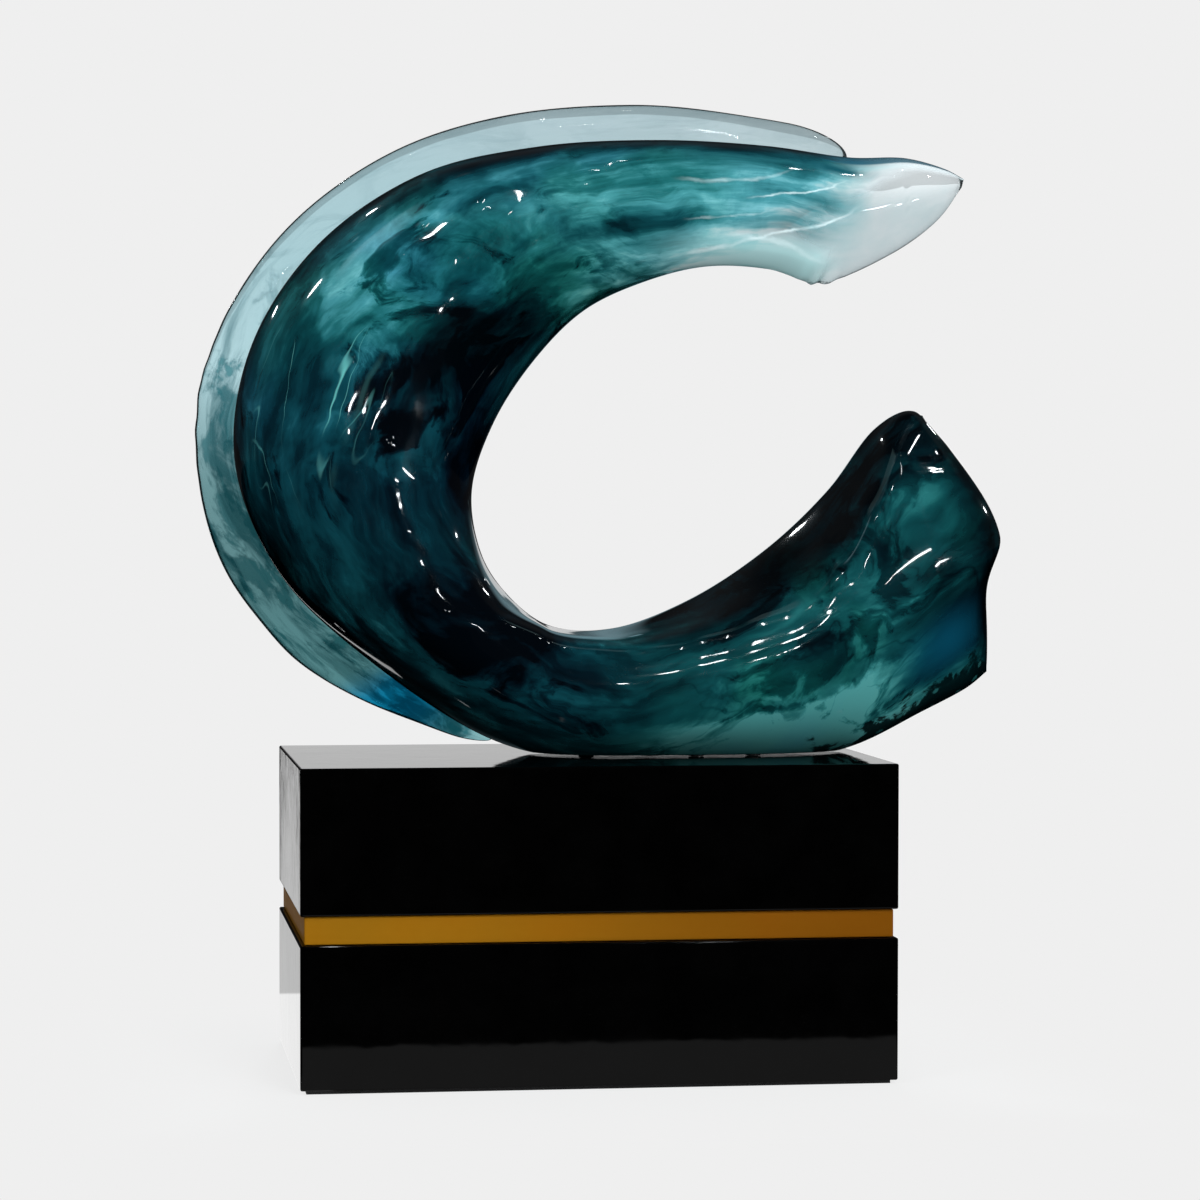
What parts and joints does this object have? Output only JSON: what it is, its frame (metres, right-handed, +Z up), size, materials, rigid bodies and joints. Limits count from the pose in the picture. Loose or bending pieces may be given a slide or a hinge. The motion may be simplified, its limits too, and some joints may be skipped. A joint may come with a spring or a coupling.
{
  "type": "resin_wave_sculpture",
  "caption": "Free-standing cast-resin wave sculpture in marbled teal with a clear rear crest, on a black lacquered plinth with a gold band",
  "frame": {"origin": "the centre of the felt sheet's underside, on the surface that the sculpture stands on, midway across and along the plinth", "axes": "+Z is up, +X runs along the plinth towards the open side of the curl, and -Y points at a viewer in front of the sculpture"},
  "size_m": [0.3941, 0.15, 0.4676],
  "materials": {
    "teal_resin": "polished",
    "clear_resin": "polished",
    "black_lacquer": "high gloss lacquer",
    "raw_board": "raw",
    "gold_metal": "polished",
    "zinc_steel": "zinc plated",
    "dark_sleeve": "satin",
    "felt": "matt"
  },
  "bodies": {
    "root": {"wave_body": "teal_resin", "rear_crest": "clear_resin", "upper_top_board": "black_lacquer", "upper_front_board": "black_lacquer", "upper_rear_board": "black_lacquer", "upper_left_board": "black_lacquer", "upper_right_board": "black_lacquer", "upper_front_cleat": "raw_board", "upper_rear_cleat": "raw_board", "gold_band": "gold_metal", "spacer_board": "raw_board", "lower_top_board": "black_lacquer", "lower_front_board": "black_lacquer", "lower_rear_board": "black_lacquer", "lower_left_board": "black_lacquer", "lower_right_board": "black_lacquer", "lower_front_cleat": "raw_board", "lower_rear_cleat": "raw_board", "base_board": "raw_board", "felt_sheet": "felt", "stud_left": "zinc_steel", "stud_middle": "zinc_steel", "stud_right": "zinc_steel", "spacer_left": "dark_sleeve", "spacer_middle": "dark_sleeve", "spacer_right": "dark_sleeve", "washer_left": "zinc_steel", "washer_middle": "zinc_steel", "washer_right": "zinc_steel", "nut_left": "zinc_steel", "nut_middle": "zinc_steel", "nut_right": "zinc_steel", "tie_screw_front_left": "zinc_steel", "tie_screw_front_right": "zinc_steel", "tie_screw_rear_left": "zinc_steel", "tie_screw_rear_right": "zinc_steel", "base_screw_front_left": "zinc_steel", "base_screw_front_right": "zinc_steel", "base_screw_rear_left": "zinc_steel", "base_screw_rear_right": "zinc_steel"}
  },
  "joints": []
}
